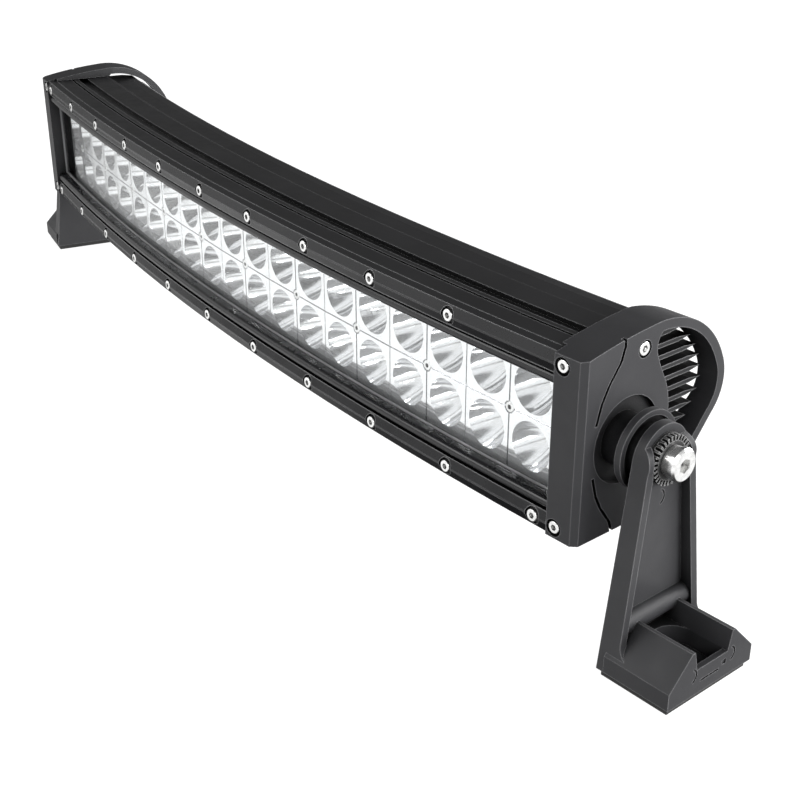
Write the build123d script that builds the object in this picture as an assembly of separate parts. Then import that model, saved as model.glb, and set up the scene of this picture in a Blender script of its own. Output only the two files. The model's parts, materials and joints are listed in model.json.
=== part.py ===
from build123d import *
import math
import os

# Curved double-row LED light bar on two swinging end brackets. Millimetres, +Z up.
# The origin is midway between the two foot bolts, on the plane that the foot pads stand on.
# +X runs along the bar and the lenses face -Y.

# ---- driving dimensions: the curved bar ----
ARC_RADIUS = 2200.0  # radius of the line through the rail screws
HALF_LENGTH = 283.0  # from mid-bar to the side face of an end cap, along that line
CELL = 26.0  # spacing of the lamps along the bar
ROW_SPACING = 25.0  # spacing of the two rows of lamps
BLOCK_COUNT = 10  # reflector blocks of two by two lamps
BODY_HALF = 38.5  # half of the body's height
SCREW_Z = 34.0  # height of the rail screws above and below mid-height
PIVOT_HEIGHT = 89.0  # from the mounting plane to mid-height, where the pivots are

# ---- depths behind the line through the rail screws ----
RAIL_BACK = 6.5
LENS_FRONT = 7.5
LENS_BACK = 10.5
REFLECTOR_FRONT = 11.3
REFLECTOR_DEPTH = 14.0
BOARD_THICK = 1.6
PAD_THICK = 0.5
FLOOR_THICK = 4.0
REAR_WALL_FRONT = 41.0
FIN_ROOT = 44.0

# ---- end caps, measured from the side face inwards ----
CAP_PLATE = 5.0
CAP_GASKET = 0.8
CAP_STRIP = 15.0
CAP_SKIRT = 17.5
LOOP_REAR = 10.1

# ---- pivots and brackets, measured outwards from the side face ----
PIVOT_DEPTH = 26.0
BOSS_END = 7.8
CUP_INNER = 8.2
ARM_INNER = 14.5
ARM_WEB = 4.0
FOOT_OUTER = 50.0
FOOT_HOLE_OUT = 32.0
FOOT_PAD = 3.0
FOOT_HALF = 25.0
ARM_HEAD_R = 13.5
RIB = 3.6
BOLT_R = 4.0
FOOT_HOLE_R = 4.25

END_ANGLE = math.degrees(HALF_LENGTH / ARC_RADIUS)
BOARD_BACK = REFLECTOR_FRONT + REFLECTOR_DEPTH + BOARD_THICK
FLOOR_FRONT = BOARD_BACK + PAD_THICK
FLOOR_BACK = FLOOR_FRONT + FLOOR_THICK
END_SIN = math.sin(math.radians(END_ANGLE))
END_COS = math.cos(math.radians(END_ANGLE))
# The bar is placed in Y so that the foot bolts stand on Y = 0.
ARC_CENTRE_Y = (ARC_RADIUS - PIVOT_DEPTH) * END_COS - FOOT_HOLE_OUT * END_SIN
MID_Z = PIVOT_HEIGHT


# ---- frames along the bar ----
def bar_place(along, depth, height):
    """Location on the bar: local X along it, local Y into its depth, local Z up."""
    angle = along / ARC_RADIUS
    radius = ARC_RADIUS - depth
    x = radius * math.sin(angle)
    y = ARC_CENTRE_Y - radius * math.cos(angle)
    return Location((x, y, MID_Z + height), (0, 0, math.degrees(angle)))


END_PLACE = bar_place(HALF_LENGTH, 0, 0)


def bend(section, start, stop):
    """Sweep a closed (depth, height) outline round the bar's arc from start to stop."""
    points = [(0, -(ARC_RADIUS - depth), height) for depth, height in section]
    face = Face(Wire.make_polygon([Vector(*p) for p in points], close=True))
    solid = revolve(face, axis=Axis.Z, revolution_arc=math.degrees((stop - start) / ARC_RADIUS))
    turned = Rot(0, 0, math.degrees(start / ARC_RADIUS)) * solid
    return Pos(0, ARC_CENTRE_Y, MID_Z) * turned


def trim_ends(shape, inset):
    """Cut a bent shape square to both end caps, inset from their side faces."""
    block = Pos(100 - inset, 40, 0) * Box(200, 400, 400)
    cutter = END_PLACE * block
    return shape - cutter - mirror(cutter, Plane.YZ)


def both_ends(right):
    return right, mirror(right, Plane.YZ)


def plate(edges, low, high):
    """Extrude a (depth, height) outline along the end cap's own X from low to high."""
    placed = Plane.YZ.offset(low) * make_face(edges)
    return extrude(placed, amount=high - low)


def across(points, low, high):
    """Extrude a (depth, height) polygon along local X from low to high."""
    return plate(Polyline(*points, close=True), low, high)


def rod(radius, low, high, depth=0.0, height=0.0):
    """Cylinder along local X."""
    placed = Pos((low + high) / 2, depth, height) * Rot(0, 90, 0)
    return placed * Cylinder(radius, high - low)


def pin(radius, front, back):
    """Cylinder into the depth, along local Y."""
    placed = Pos(0, (front + back) / 2, 0) * Rot(-90, 0, 0)
    return placed * Cylinder(radius, back - front)


def socket_screw(head_r, head, shank_r, length, hex_r):
    """Socket screw along local Y: its head ends at Y = 0 and the shank runs on."""
    body = pin(head_r, -head, 0)
    body = fillet(body.edges().sort_by(Axis.Y)[0], head * 0.25)
    hexagon = Rot(90, 0, 0) * extrude(RegularPolygon(hex_r, 6), amount=head * 0.85)
    return body + pin(shank_r, 0, length) - Pos(0, -head * 0.15, 0) * hexagon


def turned_about_x(shape):
    """Turn a part made along local Y so that its head faces outwards along local X."""
    return Rot(0, 0, 90) * shape


# ---- housing ----
FIN_PITCH = 5.1
FIN_COUNT = 13
FIN_TOP = 35.3
FIN_HALF = 1.0
FIN_TAPER = 7.0


def fin_tip(height):
    """How far back a fin at this height reaches, inside the loop of the end cap."""
    if height >= 8:
        return FIN_ROOT + 32.5 * math.sqrt(1 - ((height - 8) / 31.5) ** 2)
    if height >= -4:
        return 76.5 - (8 - height) * 0.5
    return 70.5 - (-4 - height) * 0.85


def housing_section():
    """Outside of the extrusion, from the front edge over the top, down the fins and back."""
    outline = [(RAIL_BACK, BODY_HALF), (16.0, BODY_HALF), (16.0, 37.0), (17.4, 37.0)]
    outline += [(17.4, BODY_HALF), (20.3, BODY_HALF), (20.3, 36.4), (26.4, 36.4)]
    outline += [(26.4, BODY_HALF), (FIN_ROOT - 4, BODY_HALF), (FIN_ROOT, FIN_TOP + FIN_HALF)]
    for index in range(FIN_COUNT):
        z = FIN_TOP - index * FIN_PITCH
        tip = fin_tip(z)
        shoulder = max(tip - FIN_TAPER, FIN_ROOT + 1)
        outline += [(shoulder, z + FIN_HALF), (tip, z), (shoulder, z - FIN_HALF)]
        if index < FIN_COUNT - 1:
            outline += [(FIN_ROOT, z - FIN_HALF), (FIN_ROOT, z - FIN_PITCH + FIN_HALF)]
    last = FIN_TOP - (FIN_COUNT - 1) * FIN_PITCH - FIN_HALF
    outline += [(FIN_ROOT, last), (FIN_ROOT, -32.0), (FIN_ROOT - 6, -BODY_HALF)]
    outline += [(RAIL_BACK, -BODY_HALF)]
    return outline


def rail_stations():
    """Places of the rail screws: every second lamp, and the right end has one only below."""
    upper = [2 * CELL * index for index in range(-5, 5)]
    lower = [2 * CELL * index for index in range(-5, 6)]
    return [(s, SCREW_Z) for s in upper] + [(s, -SCREW_Z) for s in lower]


CAP_SCREW_ALONG = HALF_LENGTH - 11.0
SIDE_SCREW_DEPTH = 33.0
SIDE_SCREW_Z = 35.4
GLAND_ALONG = 0.0
GLAND_R = 6.0
VENT_ALONG = 60.0


def make_housing():
    shape = bend(housing_section(), -HALF_LENGTH, HALF_LENGTH)
    lens_pocket = [(RAIL_BACK - 1, -29.3), (RAIL_BACK - 1, 29.3), (LENS_BACK, 29.3)]
    lens_pocket += [(LENS_BACK, 27.2), (FLOOR_FRONT, 27.2), (FLOOR_FRONT, -27.2)]
    lens_pocket += [(LENS_BACK, -27.2), (LENS_BACK, -29.3)]
    driver_bay = [(FLOOR_BACK, -27), (FLOOR_BACK, 27), (REAR_WALL_FRONT, 27), (REAR_WALL_FRONT, -27)]
    shape -= bend(lens_pocket, -HALF_LENGTH - 1, HALF_LENGTH + 1)
    shape -= bend(driver_bay, -HALF_LENGTH - 1, HALF_LENGTH + 1)
    shape = trim_ends(shape, CAP_PLATE + CAP_GASKET)
    for along, height in rail_stations():
        shape -= bar_place(along, 0, height) * pin(1.55, 0, 17)
    for side in (-1, 1):
        for height in (-SCREW_Z, SCREW_Z):
            shape -= bar_place(side * CAP_SCREW_ALONG, 0, height) * pin(1.55, 0, 17)
    for height in (-SIDE_SCREW_Z, SIDE_SCREW_Z):
        for hole in both_ends(END_PLACE * rod(1.55, -22, 0, SIDE_SCREW_DEPTH, height)):
            shape -= hole
    shape -= bar_place(GLAND_ALONG, 36, -24) * pin(GLAND_R + 0.05, -2, 40)
    shape -= bar_place(VENT_ALONG, 36, -24) * pin(3.05, -2, 40)
    shape -= bar_place(GLAND_ALONG, FIN_ROOT, -24) * pin(11.5, 0, 40)
    shape -= bar_place(VENT_ALONG, FIN_ROOT, -24) * pin(7.0, 0, 40)
    for index in range(BLOCK_COUNT):
        place = bar_place(block_along(index), 0, 0)
        shape -= place * pin(1.05, FLOOR_FRONT - 1, FLOOR_FRONT + 3)
    return shape


# ---- front rails ----
def rail_section():
    """Top rail: a shallow roof under the screws, then a step and a round bead to the lens."""
    points = [(RAIL_BACK, BODY_HALF), (1.6, BODY_HALF), (0.0, SCREW_Z + 0.3), (0.0, SCREW_Z - 0.5)]
    points += [(1.4, 29.9), (1.4, 29.5), (3.8, 29.5), (3.8, 29.2)]
    for step in range(13):
        angle = math.radians(84 - step * 14)
        points.append((3.8 - 2.7 * math.cos(angle), 26.7 + 2.4 * math.sin(angle)))
    points += [(5.4, 24.1), (RAIL_BACK, 24.1)]
    return points


def make_rail(upper):
    section = rail_section()
    if not upper:
        section = [(depth, -height) for depth, height in reversed(section)]
    shape = trim_ends(bend(section, -HALF_LENGTH, HALF_LENGTH), CAP_STRIP + 0.1)
    for along, height in rail_stations():
        if (height > 0) == upper:
            place = bar_place(along, 0, height)
            shape -= place * pin(3.7, -2, 2.0)
            shape -= place * pin(1.7, 0, 8)
    return shape


def make_rail_screws():
    screw = Pos(0, 2.0, 0) * socket_screw(2.7, 1.9, 1.5, 13.0, 1.4)
    return Compound(children=[bar_place(s, 0, z) * screw for s, z in rail_stations()])


# ---- lens and lens gasket ----
def make_lens():
    section = [(LENS_FRONT, -29), (LENS_FRONT, 29), (LENS_BACK, 29), (LENS_BACK, -29)]
    return trim_ends(bend(section, -HALF_LENGTH, HALF_LENGTH), 6.2)


def make_lens_gasket():
    outer = [(RAIL_BACK, -29), (RAIL_BACK, 29), (LENS_FRONT, 29), (LENS_FRONT, -29)]
    inner = [(RAIL_BACK - 1, -23.6), (RAIL_BACK - 1, 23.6), (LENS_FRONT + 1, 23.6), (LENS_FRONT + 1, -23.6)]
    ring = trim_ends(bend(outer, -HALF_LENGTH, HALF_LENGTH), 6.2)
    return ring - trim_ends(bend(inner, -HALF_LENGTH, HALF_LENGTH), CAP_STRIP + 0.5)


# ---- reflectors, emitters and boards ----
RIM_R = 10.6
CUP_FLOOR_R = 3.4
# The blocks close up behind the arc, so their width is set at the back of the boards.
BLOCK_HALF = CELL * (1 - FLOOR_FRONT / ARC_RADIUS) - 0.08
SEAM = 0.8  # width of the cross-shaped line between the bowls of a block


def block_along(index):
    return (index - (BLOCK_COUNT - 1) / 2) * 2 * CELL


def cup():
    """One reflector bowl, turned about its own axis, opening towards the front."""
    wall = ThreePointArc((RIM_R, 0), (8.4, 6.0), (CUP_FLOOR_R, REFLECTOR_DEPTH))
    side = Polyline((CUP_FLOOR_R, REFLECTOR_DEPTH), (0, REFLECTOR_DEPTH), (0, 0), (RIM_R, 0))
    return revolve(make_face([wall, side]), axis=Axis.Y, revolution_arc=360)


def make_reflector(index):
    block = Pos(0, REFLECTOR_DEPTH / 2, 0) * Box(2 * BLOCK_HALF, REFLECTOR_DEPTH, 53.0)
    for x in (-CELL / 2, CELL / 2):
        for z in (-ROW_SPACING / 2, ROW_SPACING / 2):
            block -= Pos(x, 0, z) * cup()
    for line in (Box(80, 1.0, SEAM), Box(SEAM, 1.0, 80)):
        block -= line
    block -= pin(1.4, -1, REFLECTOR_DEPTH + 1)
    block -= pin(2.7, -1, 1.6)
    return bar_place(block_along(index), REFLECTOR_FRONT, 0) * block


def make_boards():
    board = Pos(0, BOARD_THICK / 2, 0) * Box(2 * BLOCK_HALF, BOARD_THICK, 53.0) - pin(1.4, -1, 3)
    depth = BOARD_BACK - BOARD_THICK
    return Compound(children=[bar_place(block_along(i), depth, 0) * board for i in range(BLOCK_COUNT)])


def make_thermal_pads():
    pad = Pos(0, PAD_THICK / 2, 0) * Box(2 * BLOCK_HALF, PAD_THICK, 50.0) - pin(1.6, -1, 3)
    return Compound(children=[bar_place(block_along(i), BOARD_BACK, 0) * pad for i in range(BLOCK_COUNT)])


def make_emitters():
    """Square packages with a round dome, one at the bottom of each bowl."""
    base = Pos(0, -0.5, 0) * Box(4.2, 1.0, 4.2)
    dome = (Pos(0, -1.0, 0) * Sphere(1.6)) & (Pos(0, -3.0, 0) * Box(4, 4, 4))
    emitter = base + dome
    depth = REFLECTOR_FRONT + REFLECTOR_DEPTH
    shapes = []
    for index in range(BLOCK_COUNT):
        for x in (-CELL / 2, CELL / 2):
            for z in (-ROW_SPACING / 2, ROW_SPACING / 2):
                shapes.append(bar_place(block_along(index), depth, z) * Pos(x, 0, 0) * emitter)
    return Compound(children=shapes)


def make_reflector_screws():
    screw = Pos(0, REFLECTOR_FRONT + 1.6, 0) * socket_screw(2.4, 1.5, 1.0, 16.5, 1.1)
    return Compound(children=[bar_place(block_along(i), 0, 0) * screw for i in range(BLOCK_COUNT)])


# ---- driver ----
DRIVER_GAP = 2.3
DRIVER_THICK = 1.6
POST_ALONG = 82.0


def make_driver_board():
    board = Pos(0, DRIVER_GAP + DRIVER_THICK / 2, 4) * Box(180, DRIVER_THICK, 40)
    return bar_place(0, FLOOR_BACK, 0) * board


def make_driver_parts():
    """Inductors and capacitors on the driver board."""
    shapes = []
    back = FLOOR_BACK + DRIVER_GAP + DRIVER_THICK
    for x in (-70, -25, 25, 70):
        shapes.append(bar_place(0, back, 8) * (Pos(x, 2.5, 0) * Box(12, 5, 12)))
    for x in (-50, -5, 48):
        shapes.append(bar_place(0, back, -4) * (Pos(x, 2.0, 0) * Box(10, 4, 8)))
    return Compound(children=shapes)


def make_driver_posts():
    """Stand-off posts that carry the driver board off the floor of its bay."""
    sag = POST_ALONG ** 2 / (2 * (ARC_RADIUS - FLOOR_BACK))
    post = pin(2.5, 0.01, DRIVER_GAP - sag - 0.2)
    return Compound(children=[bar_place(x, FLOOR_BACK, 4) * post for x in (-POST_ALONG, POST_ALONG)])


# ---- cable gland and vent at the back ----
def make_gland():
    body = pin(GLAND_R, -2.8, 3.0) + pin(9.0, 3.0, 8.0) + pin(7.0, 8.0, 13.0)
    return bar_place(GLAND_ALONG, REAR_WALL_FRONT + 0.05, -24) * (body - pin(3.5, -4, 16))


def make_gland_nut():
    hexagon = Pos(0, 13.2, 0) * Rot(-90, 0, 0) * extrude(RegularPolygon(9.4, 6), amount=7.0)
    return bar_place(GLAND_ALONG, REAR_WALL_FRONT + 0.05, -24) * (hexagon - pin(3.6, 12, 22))


def make_gland_seal():
    ring = pin(3.45, 8.5, 13.0) - pin(2.6, 8, 14)
    return bar_place(GLAND_ALONG, REAR_WALL_FRONT + 0.05, -24) * ring


def make_vent():
    body = pin(3.0, -2.0, 3.0) + pin(5.5, 3.0, 5.5)
    return bar_place(VENT_ALONG, REAR_WALL_FRONT + 0.05, -24) * body


# ---- end caps ----
def cap_outline():
    """Outside of an end cap: flat bottom and front, arched top and a D-shaped loop behind."""
    top = ThreePointArc((0, BODY_HALF), (19, 42.0), (38, 44.0))
    crown = ThreePointArc((38, 44.0), (65, 38.0), (82, 19.0))
    rear = ThreePointArc((82, 19.0), (84.2, 7.0), (78.5, -5.0))
    slope = Line((78.5, -5.0), (54, -34.5))
    base = Polyline((54, -34.5), (48.5, -BODY_HALF), (0, -BODY_HALF), (0, BODY_HALF))
    return [top, crown, rear, slope, base]


def loop_window():
    """The open D behind the fins, about a strap's thickness inside the outline."""
    crown = ThreePointArc((43, 40.0), (62.5, 35.0), (77.8, 18.0))
    rear = ThreePointArc((77.8, 18.0), (80.0, 7.5), (75.0, -3.0))
    slope = Line((75.0, -3.0), (54.0, -28.5))
    foot = Line((54.0, -28.5), (47.5, -28.5))
    front = Spline((47.5, -28.5), (48.5, -14), (50.2, 2), (47.5, 17), (41.5, 29), (40.2, 35), (43, 40.0))
    return [crown, rear, slope, foot, front]


def cap_groove():
    """The shadow line that curves from the top of the side face round the pivot's recess."""
    path = [(21.5, 46), (21.5, 39.5), (19.8, 34.0), (14.0, 26.0), (10.6, 19.5), (8.2, 11.0)]
    left = [(d - 0.75, z) for d, z in path]
    right = [(d + 0.75, z) for d, z in reversed(path)]
    return left + right


def loop_taper():
    """The wedge taken off the inner side of the loop, which narrows towards the back."""
    corners = [(-CAP_SKIRT - 1, 44.5), (-CAP_SKIRT, 44.5), (-LOOP_REAR, 80.0), (-LOOP_REAR, 90.0)]
    corners += [(-CAP_SKIRT - 1, 90.0)]
    return extrude(make_face(Polyline(*corners, close=True)), amount=60, both=True)


def make_end_cap():
    cap = plate(cap_outline(), -CAP_SKIRT, 0) - loop_taper()
    cap -= across([(RAIL_BACK, -39), (RAIL_BACK, 38.7), (44.2, 38.7), (44.2, -39)], -30, -CAP_PLATE)
    cap -= across([(-1, -50), (-1, 50), (RAIL_BACK, 50), (RAIL_BACK, -50)], -30, -CAP_STRIP)
    cap -= across([(44, -28.4), (44, 39), (53, 38), (53, -28.4)], -30, -CAP_PLATE)
    cap -= plate(loop_window(), -40, 40)
    cap -= Rot(0, 0, 45) * Box(3.4, 3.4, 200)
    for flip in (1, -1):
        cap -= across([(d, flip * z) for d, z in cap_groove()], -1.8, 1)
    cap -= rod(18.0, -2.8, 2, PIVOT_DEPTH, 0)
    cap += rod(11.0, -3.0, BOSS_END, PIVOT_DEPTH, 0)
    cap -= rod(6.55, -8, BOSS_END + 1, PIVOT_DEPTH, 0)
    for height in (-SIDE_SCREW_Z, SIDE_SCREW_Z):
        cap -= rod(3.6, -1.8, 2, SIDE_SCREW_DEPTH, height)
        cap -= rod(1.7, -10, 2, SIDE_SCREW_DEPTH, height)
    placed = END_PLACE * cap
    for height in (-SCREW_Z, SCREW_Z):
        place = bar_place(CAP_SCREW_ALONG, 0, height)
        placed -= place * pin(3.7, -2, 2.0)
        placed -= place * pin(1.7, 0, 8)
    return placed


def make_cap_gasket():
    inset = CAP_PLATE
    ring = across([(7.5, -38), (7.5, 38), (43, 38), (43, -38)], -inset - CAP_GASKET, -inset)
    ring -= across([(LENS_BACK, -27.5), (LENS_BACK, 27.5), (40.5, 27.5), (40.5, -27.5)], -10, 0)
    for height in (-SIDE_SCREW_Z, SIDE_SCREW_Z):
        ring -= rod(1.8, -10, 2, SIDE_SCREW_DEPTH, height)
    return END_PLACE * ring


def make_cap_front_screws():
    screw = Pos(0, 2.0, 0) * socket_screw(2.7, 1.9, 1.5, 13.0, 1.4)
    shapes = []
    for side in (-1, 1):
        for height in (-SCREW_Z, SCREW_Z):
            shapes.append(bar_place(side * CAP_SCREW_ALONG, 0, height) * screw)
    return Compound(children=shapes)


def make_cap_side_screws():
    screw = turned_about_x(socket_screw(2.9, 1.7, 1.5, 14.0, 1.5))
    shapes = []
    for height in (-SIDE_SCREW_Z, SIDE_SCREW_Z):
        place = END_PLACE * Pos(-1.8, SIDE_SCREW_DEPTH, height)
        shapes.extend(both_ends(place * screw))
    return Compound(children=shapes)


# ---- pivots ----
PIVOT_PLACE = END_PLACE * Pos(0, PIVOT_DEPTH, 0)
RING_LOW = ARM_INNER + ARM_WEB + 0.1
RING_HIGH = RING_LOW + 3.6
RING_R = 10.2
RING_TEETH = 30
WASHER_R = 6.3
WASHER_THICK = 3.2
HEAD_THICK = 2.7
HEAD_R = 6.9


def make_insert():
    return PIVOT_PLACE * (rod(6.5, -4.8, BOSS_END - 0.1) - rod(BOLT_R + 0.05, -10, 20))


def make_serrated_ring():
    ring = rod(RING_R, RING_LOW, RING_HIGH) - rod(BOLT_R + 0.3, 0, 40)
    for index in range(RING_TEETH):
        notch = Pos(0, 0, RING_R) * Box(4.6, 1.1, 4.4)
        place = Rot(index * 360 / RING_TEETH, 0, 0) * Pos(RING_HIGH, 0, 0)
        ring -= place * notch
    return PIVOT_PLACE * ring


def make_washer():
    low = RING_HIGH + 0.1
    return PIVOT_PLACE * (rod(WASHER_R, low, low + WASHER_THICK) - rod(BOLT_R + 0.1, 0, 40))


def make_pivot_bolt():
    low = RING_HIGH + 0.15 + WASHER_THICK
    high = low + HEAD_THICK
    head = rod(HEAD_R, low, high)
    head = chamfer(head.edges().sort_by(Axis.X)[-1], 0.9)
    hexagon = Pos(high - 3.2, 0, 0) * Rot(0, 90, 0) * extrude(RegularPolygon(3.1, 6), amount=4)
    return PIVOT_PLACE * (head + rod(BOLT_R, -4.5, low + 0.5) - hexagon)


# ---- brackets ----
FOOT_TOP = -PIVOT_HEIGHT + FOOT_PAD
FOOT_WALL = 7.5  # height of the foot's low side walls
CHANNEL_END = FOOT_OUTER - 2.5


def arm_outline(shrink):
    """Tapered arm with a round head, as (depth, height) from the pivot."""
    radius = ARM_HEAD_R - shrink
    reach = FOOT_HALF - shrink
    turn = math.radians(8)
    side = (radius * math.cos(turn), radius * math.sin(turn))
    head = ThreePointArc((-side[0], side[1]), (0, radius), (side[0], side[1]))
    legs = Polyline((side[0], side[1]), (reach, FOOT_TOP), (-reach, FOOT_TOP), (-side[0], side[1]))
    return [head, legs]


def rib_profile():
    """How far the ribs stand out at each height: slim above, swept out into the foot."""
    start = Polyline((ARM_INNER, 30), (ARM_INNER + ARM_WEB, 30), (ARM_INNER + ARM_WEB, 7))
    shoulder = ThreePointArc((ARM_INNER + ARM_WEB, 7), (21.4, 4.6), (22.5, -2))
    rise = Line((22.5, -2), (24.0, FOOT_TOP + 15))
    sweep = ThreePointArc((24.0, FOOT_TOP + 15), (25.4, FOOT_TOP + 10.4), (30, FOOT_TOP + FOOT_WALL))
    low = Polyline((30, FOOT_TOP + FOOT_WALL), (FOOT_OUTER, FOOT_TOP + FOOT_WALL), (FOOT_OUTER, FOOT_TOP))
    close = Polyline((FOOT_OUTER, FOOT_TOP), (ARM_INNER, FOOT_TOP), (ARM_INNER, 30))
    return [start, shoulder, rise, sweep, low, close]


def foot_section():
    """End view of the foot: low side walls, sloped shoulders, two lugs and a middle channel."""
    half = [(FOOT_HALF, FOOT_TOP), (FOOT_HALF, FOOT_TOP + FOOT_WALL), (12.8, FOOT_TOP + 20.3)]
    half += [(11.2, FOOT_TOP + 20.3), (9.2, FOOT_TOP + 11.5)]
    return half + [(-d, z) for d, z in reversed(half)]


def crescent(face, depth, height):
    """Shallow curved casting mark cut into a face that looks outwards."""
    ring = rod(3.6, face - 0.5, face + 2, depth, height) - rod(2.8, face - 1, face + 3, depth, height)
    return ring & (Pos(face, depth + 3.2, height) * Box(8, 4.0, 10))


def make_bracket():
    cup_disc = rod(16.2, CUP_INNER, CUP_INNER + 3.0) - rod(13.9, CUP_INNER + 1.2, ARM_INNER + 1)
    cup_disc += rod(11.0, CUP_INNER, ARM_INNER + 0.5)
    web = plate(arm_outline(0), ARM_INNER, ARM_INNER + ARM_WEB)
    walls = plate(arm_outline(0), ARM_INNER, FOOT_OUTER) - plate(arm_outline(RIB), 0, 80)
    envelope = extrude(Plane.XZ.offset(-60) * make_face(rib_profile()), amount=120)
    ribs = walls & envelope
    foot = across(foot_section(), ARM_INNER + ARM_WEB - 0.5, FOOT_OUTER)
    channel = Pos((FOOT_HOLE_OUT + CHANNEL_END) / 2, 0, 0) * Box(CHANNEL_END - FOOT_HOLE_OUT, 18.4, 60)
    channel += Pos(FOOT_HOLE_OUT, 0, 0) * Cylinder(9.2, 60)
    foot -= Pos(0, 0, FOOT_TOP + 4 + 30) * channel
    foot -= Pos(FOOT_HOLE_OUT, 0, FOOT_TOP + 3) * Cylinder(7.8, 4)
    band = Pos(ARM_INNER + ARM_WEB - 0.6, 0, FOOT_TOP + 19) * Rot(90, 0, 0)
    band = (band * Cylinder(5.0, 80)) & plate(arm_outline(1.0), ARM_INNER, 60)
    shape = cup_disc + web + ribs + foot + band
    shape -= rod(BOLT_R + 0.3, 0, 60)
    shape -= rod(RING_R + 0.7, RING_LOW - 0.1, 60)
    shape -= crescent(ARM_INNER + ARM_WEB, -1.0, -17.0)
    for side in (-1, 1):
        shape -= crescent(FOOT_OUTER, side * 11.5 - 1.0, FOOT_TOP + 9.5)
    shape -= Pos(FOOT_OUTER, -1.0, FOOT_TOP + 5.5) * Box(1.0, 11.0, 0.8)
    shape -= Pos(FOOT_OUTER, 7.5, FOOT_TOP + 7.5) * Box(1.0, 2.4, 2.0)
    shape -= Pos(FOOT_HOLE_OUT, 0, FOOT_TOP) * Cylinder(FOOT_HOLE_R, 30)
    return PIVOT_PLACE * shape


def make_foot_pad():
    length = FOOT_OUTER - ARM_INNER - 3.0
    middle = (FOOT_OUTER + ARM_INNER) / 2
    pad = Pos(middle, 0, FOOT_TOP - FOOT_PAD / 2) * Box(length, 2 * FOOT_HALF - 3.0, FOOT_PAD)
    pad -= Pos(FOOT_HOLE_OUT, 0, FOOT_TOP) * Cylinder(FOOT_HOLE_R, 30)
    return PIVOT_PLACE * pad


# ---- write every node ----
def save(name, shape):
    solids = shape.solids()
    whole = solids[0] if len(solids) == 1 else Compound(children=solids)
    export_step(whole, "parts/" + name + ".step")


def save_pair(name, right):
    for side, shape in zip(("right", "left"), both_ends(right)):
        save(side + "_" + name, shape)


def main():
    os.makedirs("parts", exist_ok=True)
    save("housing", make_housing())
    save("top_rail", make_rail(True))
    save("bottom_rail", make_rail(False))
    save("rail_screws", make_rail_screws())
    save("lens", make_lens())
    save("lens_gasket", make_lens_gasket())
    for index in range(BLOCK_COUNT):
        save("reflector_%02d" % (index + 1), make_reflector(index))
    save("reflector_screws", make_reflector_screws())
    save("led_boards", make_boards())
    save("led_emitters", make_emitters())
    save("thermal_pads", make_thermal_pads())
    save("driver_board", make_driver_board())
    save("driver_parts", make_driver_parts())
    save("driver_posts", make_driver_posts())
    save("cable_gland", make_gland())
    save("gland_nut", make_gland_nut())
    save("gland_seal", make_gland_seal())
    save("breather_vent", make_vent())
    save_pair("end_cap", make_end_cap())
    save_pair("cap_gasket", make_cap_gasket())
    save("cap_front_screws", make_cap_front_screws())
    save("cap_side_screws", make_cap_side_screws())
    save_pair("pivot_insert", make_insert())
    save_pair("pivot_bolt", make_pivot_bolt())
    save_pair("pivot_washer", make_washer())
    save_pair("serrated_ring", make_serrated_ring())
    save_pair("bracket", make_bracket())
    save_pair("foot_pad", make_foot_pad())


main()
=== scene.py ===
import json
import math

import bmesh
import bpy
from mathutils import Matrix, Vector

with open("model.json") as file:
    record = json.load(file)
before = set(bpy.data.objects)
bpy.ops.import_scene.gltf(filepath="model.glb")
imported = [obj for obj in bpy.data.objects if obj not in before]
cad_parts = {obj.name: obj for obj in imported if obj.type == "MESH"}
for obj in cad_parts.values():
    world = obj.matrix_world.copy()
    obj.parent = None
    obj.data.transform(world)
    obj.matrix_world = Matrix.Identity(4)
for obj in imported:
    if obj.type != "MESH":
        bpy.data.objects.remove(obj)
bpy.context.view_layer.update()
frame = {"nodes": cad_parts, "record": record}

NODES = frame["nodes"]
MM = 0.001

# How wide the painted edge highlights are (they stand in part for rubbed coat), and how near walls have
# to be for painted shade to darken a surface.
EDGE_SHEEN_WIDTH = 0.7 * MM
NARROW_GAP = 2.2 * MM
DEEP_RECESS = 12 * MM
SOCKET_DEPTH = 1.6 * MM
SEAM_DEPTH = 1.0 * MM

# Edges sharper than this are softened, by widths in millimetres that go with the finish.
BEVEL_ANGLE = math.radians(38)
BEVELS = {"cap": 0.45, "bracket": 0.6, "rail": 0.22, "extrusion": 0.25, "rubber": 0.4, "nylon": 0.15,
          "screw": 0.12, "reflector": 0.3}

# The colour sockets of a mix node: two inputs and the output.
MIX_FIRST, MIX_SECOND, MIX_RESULT = 6, 7, 2

# The floor's half width and how far it lies under the feet, the backdrop's radius, and their glow.
FLOOR_HALF = 6.0
FLOOR_DROP = 0.0005
DOME_RADIUS = 5.5
STAGE_GLOW = 0.92

# The room: pairs of height and brightness in front, then the two levels behind and their heights.
# A height runs from 0 straight down to 1 straight up. A direction's Y plus X times the lean tells
# the front from the back, and the one blends into the other between the two edge values.
FRONT_BANDS = [(0.05, 0.02), (0.15, 0.06), (0.24, 0.95), (0.45, 1.0), (0.47, 0.3), (0.52, 0.3),
               (0.54, 1.0), (0.7, 1.1), (0.74, 0.5), (0.8, 0.16), (0.95, 0.1)]
BACK_LEVELS = (0.02, 0.16)
BACK_HEIGHTS = (0.4, 0.75)
BACK_LEAN = -0.9
BACK_EDGE = (0.5, 0.9)
ROOM_STRENGTH = 1.25

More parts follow.
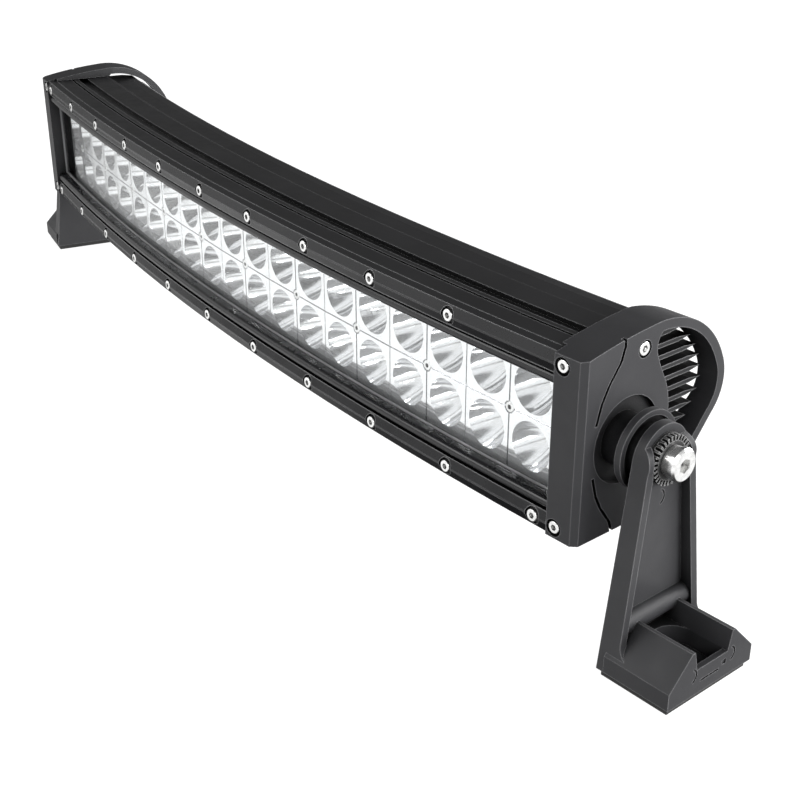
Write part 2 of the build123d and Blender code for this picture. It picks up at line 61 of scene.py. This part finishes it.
# Lamps: name, place, the point aimed at, width and height in metres, and power in watts.
LAMPS = [
    ("right_side", (1.4, 0.45, 0.42), (0.3, 0, 0.1), (0.7, 0.6), 16),
    ("rear", (0.2, 1.7, 0.5), (0, 0.05, 0.09), (1.6, 0.6), 60),
    ("near_right", (0.62, -0.12, 0.3), (0.29, 0.02, 0.12), (0.2, 0.12), 0.8),
    ("front", (-0.7, -1.7, 1.3), (0, 0, 0.08), (1.6, 0.5), 14),
]

# The camera, in metres, degrees and millimetres of lens.
CAMERA_PLACE = (0.61283, -0.32338, 0.32367)
CAMERA_AZIMUTH = 57.0
CAMERA_ELEVATION = 25.66
CAMERA_LENS = 60.51
SENSOR_WIDTH = 36.0


# ---- material helpers ----
def new_material(name):
    material = bpy.data.materials.new(name)
    material.use_nodes = True
    tree = material.node_tree
    tree.nodes.clear()
    output = tree.nodes.new("ShaderNodeOutputMaterial")
    shader = tree.nodes.new("ShaderNodeBsdfPrincipled")
    tree.links.new(shader.outputs["BSDF"], output.inputs["Surface"])
    return material, tree, shader


def coordinates(tree, stretch=(1, 1, 1)):
    """Object coordinates in metres, stretched along the axes for drawn or brushed grain."""
    source = tree.nodes.new("ShaderNodeTexCoord")
    mapping = tree.nodes.new("ShaderNodeMapping")
    mapping.inputs["Scale"].default_value = stretch
    tree.links.new(source.outputs["Object"], mapping.inputs["Vector"])
    return mapping.outputs["Vector"]


def noise(tree, vector, scale, detail=4.0, roughness=0.55):
    texture = tree.nodes.new("ShaderNodeTexNoise")
    texture.inputs["Scale"].default_value = scale
    texture.inputs["Detail"].default_value = detail
    texture.inputs["Roughness"].default_value = roughness
    tree.links.new(vector, texture.inputs["Vector"])
    return texture.outputs["Fac"]


def spread(tree, value, low, high, start=0.3, stop=0.7):
    """Map a value between start and stop onto the range low to high."""
    node = tree.nodes.new("ShaderNodeMapRange")
    node.inputs["From Min"].default_value = start
    node.inputs["From Max"].default_value = stop
    node.inputs["To Min"].default_value = low
    node.inputs["To Max"].default_value = high
    tree.links.new(value, node.inputs["Value"])
    return node.outputs["Result"]


def ramp(tree, value, first, second, start=0.3, stop=0.7):
    """The first colour up to start, the second from stop on, and a blend between them."""
    node = tree.nodes.new("ShaderNodeValToRGB")
    low, high = node.color_ramp.elements
    low.position, high.position = start, stop
    low.color, high.color = (*first, 1), (*second, 1)
    tree.links.new(value, node.inputs["Fac"])
    return node.outputs["Color"]


def bump(tree, value, strength, distance):
    node = tree.nodes.new("ShaderNodeBump")
    node.inputs["Strength"].default_value = strength
    node.inputs["Distance"].default_value = distance
    tree.links.new(value, node.inputs["Height"])
    return node.outputs["Normal"]


def edge_mask(tree, radius):
    """Near 1 along sharp edges and 0 elsewhere: where the painted edge highlight goes, standing in part
    for coat rubbed thin there.
    """
    soft = tree.nodes.new("ShaderNodeBevel")
    soft.samples = 4
    soft.inputs["Radius"].default_value = radius
    sharp = tree.nodes.new("ShaderNodeNewGeometry")
    product = tree.nodes.new("ShaderNodeVectorMath")
    product.operation = "DOT_PRODUCT"
    tree.links.new(soft.outputs["Normal"], product.inputs[0])
    tree.links.new(sharp.outputs["Normal"], product.inputs[1])
    return spread(tree, product.outputs["Value"], 1.0, 0.0, 0.82, 0.99)


def cavity(tree, distance, own_only=True):
    """Near 1 where walls within the distance shut the surface in, as in a socket, and 0 in the open; it
    places painted shade.
    """
    open_sky = tree.nodes.new("ShaderNodeAmbientOcclusion")
    open_sky.samples = 6
    open_sky.only_local = own_only
    open_sky.inputs["Distance"].default_value = distance
    return spread(tree, open_sky.outputs["AO"], 1.0, 0.0, 0.3, 0.75)


def multiply_add(tree, value, factor, added):
    """The value times the factor, plus what is added."""
    node = tree.nodes.new("ShaderNodeMath")
    node.operation = "MULTIPLY_ADD"
    node.inputs[1].default_value = factor
    tree.links.new(value, node.inputs[0])
    tree.links.new(added, node.inputs[2])
    return node.outputs["Value"]


def mix_colour(tree, factor, first, second):
    """The first colour where the factor is 0 and the second where it is 1."""
    node = tree.nodes.new("ShaderNodeMix")
    node.data_type = "RGBA"
    tree.links.new(factor, node.inputs["Factor"])
    tree.links.new(first, node.inputs[MIX_FIRST])
    node.inputs[MIX_SECOND].default_value = (*second, 1)
    return node.outputs[MIX_RESULT]


def coated(name, dark, light, rough, grain=(1, 1, 1), grain_scale=2600, depth=0.02, edge_sheen_and_wear=None,
           specular=0.5):
    """A coat of paint, powder, anodising or moulded skin, with grain and blotches.

    Where an edge colour is given, the edges are lightened to it as a painted highlight, partly standing
    for rubbed coat, and narrow gaps and deep recesses get painted shade, darker and with less specular.
    """
    material, tree, shader = new_material(name)
    vector = coordinates(tree, grain)
    blotch = noise(tree, coordinates(tree), 22, 3)
    fine = noise(tree, vector, grain_scale, 3)
    colour = ramp(tree, blotch, dark, light)
    if edge_sheen_and_wear:
        # Painted highlight: sharp edges lightened towards the edge colour, standing in part for rubbed
        # coat.
        colour = mix_colour(tree, edge_mask(tree, EDGE_SHEEN_WIDTH), colour, edge_sheen_and_wear)
        # Painted shade: narrow gaps and creases darkened almost to black.
        colour = mix_colour(tree, cavity(tree, NARROW_GAP), colour, (0.002, 0.002, 0.002))
        # Painted shade: deep recesses and gaps between parts darkened almost to black, with less specular
        # there.
        recess_shade = cavity(tree, DEEP_RECESS, own_only=False)
        colour = mix_colour(tree, recess_shade, colour, (0.003, 0.003, 0.003))
        shine = spread(tree, recess_shade, specular, 0.25 * specular, 0.0, 1.0)
        tree.links.new(shine, shader.inputs["Specular IOR Level"])
    tree.links.new(colour, shader.inputs["Base Color"])
    smudge = noise(tree, coordinates(tree), 60, 5, 0.65)
    tree.links.new(spread(tree, smudge, rough[0], rough[1]), shader.inputs["Roughness"])
    tree.links.new(bump(tree, fine, 0.5, depth * MM), shader.inputs["Normal"])
    shader.inputs["Specular IOR Level"].default_value = specular
    return material


def machined(name, tint, rough, scale=9000, depth=0.006, anisotropic=0.4):
    """Bright turned or brushed metal with fine scratches, faint stains and painted shade in its sockets.
    """
    material, tree, shader = new_material(name)
    scratches = noise(tree, coordinates(tree, (1, 0.08, 1)), scale, 2)
    stain = noise(tree, coordinates(tree), 400, 4)
    darker = tuple(channel * 0.8 for channel in tint)
    colour = ramp(tree, stain, darker, tint, 0.25, 0.6)
    # Painted shade: the insides of sockets darkened almost to black.
    colour = mix_colour(tree, cavity(tree, SOCKET_DEPTH), colour, (0.02, 0.02, 0.02))
    tree.links.new(colour, shader.inputs["Base Color"])
    tree.links.new(spread(tree, scratches, rough[0], rough[1]), shader.inputs["Roughness"])
    tree.links.new(bump(tree, scratches, 0.4, depth * MM), shader.inputs["Normal"])
    shader.inputs["Metallic"].default_value = 1.0
    shader.inputs["Anisotropic"].default_value = anisotropic
    return material


def mirror_coat(name):
    """Vacuum-metallised plastic: nearly a mirror, with a slight moulding ripple and painted shade in its
    seams.
    """
    material, tree, shader = new_material(name)
    ripple = noise(tree, coordinates(tree), 160, 2)
    haze = noise(tree, coordinates(tree), 700, 4)
    colour = ramp(tree, haze, (0.88, 0.89, 0.9), (0.96, 0.96, 0.97))
    # Painted shade: seams and crevices between the cups darkened.
    colour = mix_colour(tree, cavity(tree, SEAM_DEPTH), colour, (0.12, 0.12, 0.13))
    tree.links.new(colour, shader.inputs["Base Color"])
    tree.links.new(spread(tree, haze, 0.06, 0.13), shader.inputs["Roughness"])
    tree.links.new(bump(tree, ripple, 0.3, 0.2 * MM), shader.inputs["Normal"])
    shader.inputs["Metallic"].default_value = 0.8
    return material


def clear_lens(name):
    """Clear sheet: what is behind shows through, and it shines more at a glancing angle."""
    material, tree, shader = new_material(name)
    haze = noise(tree, coordinates(tree), 90, 4)
    tree.links.new(spread(tree, haze, 0.02, 0.06), shader.inputs["Roughness"])
    tree.links.new(ramp(tree, haze, (0.95, 0.96, 0.97), (1, 1, 1)), shader.inputs["Base Color"])
    glass = tree.nodes.new("ShaderNodeBsdfTransparent")
    glass.inputs["Color"].default_value = (0.985, 0.99, 0.99, 1)
    facing = tree.nodes.new("ShaderNodeLayerWeight")
    facing.inputs["Blend"].default_value = 0.5
    steep = tree.nodes.new("ShaderNodeMath")
    steep.operation = "POWER"
    steep.inputs[1].default_value = 4.0
    tree.links.new(facing.outputs["Facing"], steep.inputs[0])
    shine = spread(tree, steep.outputs["Value"], 0.02, 0.5, 0.0, 1.0)
    shader.inputs["Metallic"].default_value = 1.0
    mixer = tree.nodes.new("ShaderNodeMixShader")
    tree.links.new(shine, mixer.inputs["Fac"])
    tree.links.new(glass.outputs["BSDF"], mixer.inputs[1])
    tree.links.new(shader.outputs["BSDF"], mixer.inputs[2])
    output = [node for node in tree.nodes if node.type == "OUTPUT_MATERIAL"][0]
    tree.links.new(mixer.outputs["Shader"], output.inputs["Surface"])
    return material


# ---- the materials ----
def make_materials():
    grey = (0.15, 0.15, 0.155)
    return {
        "extrusion": coated("extrusion", (0.005, 0.005, 0.0055), (0.01, 0.01, 0.011), (0.28, 0.42),
                            grain=(0.02, 1, 1), grain_scale=3000, depth=0.012, edge_sheen_and_wear=(0.22, 0.22, 0.225),
                            specular=0.32),
        "rail": coated("rail", (0.003, 0.003, 0.004), (0.006, 0.006, 0.007), (0.22, 0.32),
                       grain=(0.02, 1, 1), grain_scale=3000, depth=0.01, edge_sheen_and_wear=(0.24, 0.24, 0.245),
                       specular=0.42),
        "cap": coated("cap", (0.02, 0.02, 0.022), (0.029, 0.029, 0.031), (0.4, 0.55),
                      grain_scale=1700, depth=0.05, edge_sheen_and_wear=grey, specular=0.3),
        "bracket": coated("bracket", (0.022, 0.022, 0.024), (0.032, 0.032, 0.034), (0.42, 0.58),
                          grain_scale=1500, depth=0.06, edge_sheen_and_wear=grey, specular=0.3),
        "screw": machined("screw", (0.9, 0.9, 0.89), (0.2, 0.36)),
        "insert": machined("insert", (0.45, 0.45, 0.44), (0.3, 0.5)),
        "reflector": mirror_coat("reflector"),
        "lens": clear_lens("lens"),
        "rubber": coated("rubber", (0.012, 0.012, 0.012), (0.022, 0.022, 0.021), (0.7, 0.9),
                         grain_scale=2400, depth=0.05),
        "nylon": coated("nylon", (0.012, 0.012, 0.012), (0.02, 0.02, 0.02), (0.4, 0.6),
                        grain_scale=3000, depth=0.03, edge_sheen_and_wear=(0.3, 0.3, 0.3)),
        "silicone": coated("silicone", (0.16, 0.16, 0.165), (0.22, 0.22, 0.225), (0.35, 0.5),
                           grain_scale=900, depth=0.1),
        "pad": coated("pad", (0.5, 0.53, 0.56), (0.6, 0.62, 0.64), (0.7, 0.85)),
        "board": coated("board", (0.72, 0.72, 0.7), (0.85, 0.85, 0.83), (0.35, 0.5)),
        "phosphor": coated("phosphor", (0.72, 0.58, 0.16), (0.9, 0.78, 0.3), (0.2, 0.35)),
        "circuit": coated("circuit", (0.01, 0.08, 0.03), (0.02, 0.14, 0.06), (0.3, 0.45)),
        "component": coated("component", (0.02, 0.02, 0.022), (0.05, 0.05, 0.052), (0.4, 0.6)),
    }


SLOT_LOOKS = {
    "extrusion": "extrusion", "rail": "rail", "cap_casting": "cap", "bracket_casting": "bracket",
    "lens": "lens", "reflector": "reflector", "bright_fastener": "screw", "steel_insert": "insert",
    "rubber_parts": "rubber", "lens_seal": "silicone", "ring_plastic": "nylon", "thermal_pad": "pad",
    "led_board": "board", "emitter": "phosphor", "driver_board": "circuit",
    "driver_parts": "component", "gland_plastic": "nylon",
}


def dress_nodes(materials):
    """Give every CAD node its finish, and soften the edges of those whose finish is in BEVELS."""
    for part in frame["record"]["subparts"]:
        node = NODES[part["node"]]
        look = SLOT_LOOKS[part["material_slot"]]
        if not node.material_slots:
            node.data.materials.append(materials[look])
        for slot in node.material_slots:
            slot.material = materials[look]
        if look in BEVELS:
            soften(node, BEVELS[look] * MM)


def soften(node, width):
    """Round the sharp edges of a node a little, so that they catch the light."""
    bevel = node.modifiers.new("soft_edges", "BEVEL")
    bevel.width = width
    bevel.segments = 2
    bevel.limit_method = "ANGLE"
    bevel.angle_limit = BEVEL_ANGLE
    bevel.use_clamp_overlap = True
    bevel.harden_normals = True


# ---- studio ----
def pale_sheet(name, mesh):
    """A stage sheet that is seen but neither lights the object nor shows in its reflections."""
    sheet = bpy.data.objects.new(name, mesh)
    bpy.context.scene.collection.objects.link(sheet)
    sheet.visible_diffuse = False
    sheet.visible_glossy = False
    sheet.visible_shadow = False
    return sheet


def dome(radius, material):
    """The pale half-round backdrop that stands on the floor."""
    shape = bmesh.new()
    bmesh.ops.create_uvsphere(shape, u_segments=48, v_segments=32, radius=radius)
    below = [vertex for vertex in shape.verts if vertex.co.z < -0.01]
    bmesh.ops.delete(shape, geom=below, context="VERTS")
    bmesh.ops.reverse_faces(shape, faces=shape.faces)
    mesh = bpy.data.meshes.new("backdrop")
    shape.to_mesh(mesh)
    shape.free()
    mesh.materials.append(material)
    return mesh


def make_floor():
    """The floor under the feet, and the backdrop over it in the same pale finish."""
    mesh = bpy.data.meshes.new("floor")
    corners = [(x * FLOOR_HALF, y * FLOOR_HALF, 0) for x, y in ((-1, -1), (1, -1), (1, 1), (-1, 1))]
    mesh.from_pydata(corners, [], [(0, 1, 2, 3)])
    material, tree, shader = new_material("floor")
    cloud = noise(tree, coordinates(tree), 3, 3)
    tree.links.new(ramp(tree, cloud, (0.24, 0.24, 0.24), (0.26, 0.26, 0.26)), shader.inputs["Base Color"])
    shader.inputs["Roughness"].default_value = 1.0
    shader.inputs["Specular IOR Level"].default_value = 0.0
    shader.inputs["Emission Color"].default_value = (1, 1, 1, 1)
    shader.inputs["Emission Strength"].default_value = STAGE_GLOW
    mesh.materials.append(material)
    pale_sheet("floor", mesh).location.z = -FLOOR_DROP
    pale_sheet("backdrop", dome(DOME_RADIUS, material))


def area_light(name, place, target, size, power):
    data = bpy.data.lights.new(name, "AREA")
    data.shape = "RECTANGLE"
    data.size, data.size_y = size
    data.energy = power
    light = bpy.data.objects.new(name, data)
    bpy.context.scene.collection.objects.link(light)
    light.location = place
    aim = Vector(target) - Vector(place)
    light.rotation_euler = aim.to_track_quat("-Z", "Y").to_euler()


def make_lights():
    """The lamps, and a room that is pale in front and to the sides and dim everywhere else."""
    world = bpy.data.worlds.new("studio")
    world.use_nodes = True
    tree = world.node_tree
    background = tree.nodes["Background"]
    source = tree.nodes.new("ShaderNodeTexCoord")
    parts = tree.nodes.new("ShaderNodeSeparateXYZ")
    tree.links.new(source.outputs["Generated"], parts.inputs["Vector"])
    front = tree.nodes.new("ShaderNodeValToRGB")
    while len(front.color_ramp.elements) < len(FRONT_BANDS):
        front.color_ramp.elements.new(0.5)
    for element, (place, level) in zip(front.color_ramp.elements, FRONT_BANDS):
        element.position = place
        element.color = (level, level, level, 1)
    height = spread(tree, parts.outputs["Z"], 0.0, 1.0, -1.0, 1.0)
    tree.links.new(height, front.inputs["Fac"])
    low, high = ((level, level, level) for level in BACK_LEVELS)
    back = ramp(tree, height, low, high, *BACK_HEIGHTS)
    behind = multiply_add(tree, parts.outputs["X"], BACK_LEAN, parts.outputs["Y"])
    side = spread(tree, behind, 0.0, 1.0, *BACK_EDGE)
    mixer = tree.nodes.new("ShaderNodeMix")
    mixer.data_type = "RGBA"
    tree.links.new(side, mixer.inputs["Factor"])
    tree.links.new(front.outputs["Color"], mixer.inputs[MIX_FIRST])
    tree.links.new(back, mixer.inputs[MIX_SECOND])
    tree.links.new(mixer.outputs[MIX_RESULT], background.inputs["Color"])
    background.inputs["Strength"].default_value = ROOM_STRENGTH
    bpy.context.scene.world = world
    for lamp in LAMPS:
        area_light(*lamp)


def make_camera():
    """Stand where the object shows its front and right end from a little above."""
    azimuth = math.radians(CAMERA_AZIMUTH)
    elevation = math.radians(CAMERA_ELEVATION)
    back = Vector((math.sin(azimuth) * math.cos(elevation),
                   -math.cos(azimuth) * math.cos(elevation), math.sin(elevation)))
    right = (-back).cross(Vector((0, 0, 1))).normalized()
    up = right.cross(-back)
    data = bpy.data.cameras.new("camera")
    data.sensor_width = SENSOR_WIDTH
    data.lens = CAMERA_LENS
    camera = bpy.data.objects.new("camera", data)
    bpy.context.scene.collection.objects.link(camera)
    turn = Matrix((right, up, back)).transposed().to_4x4()
    camera.matrix_world = Matrix.Translation(CAMERA_PLACE) @ turn
    bpy.context.scene.camera = camera


bpy.context.scene.view_settings.view_transform = "Standard"
make_camera()
dress_nodes(make_materials())
make_floor()
make_lights()
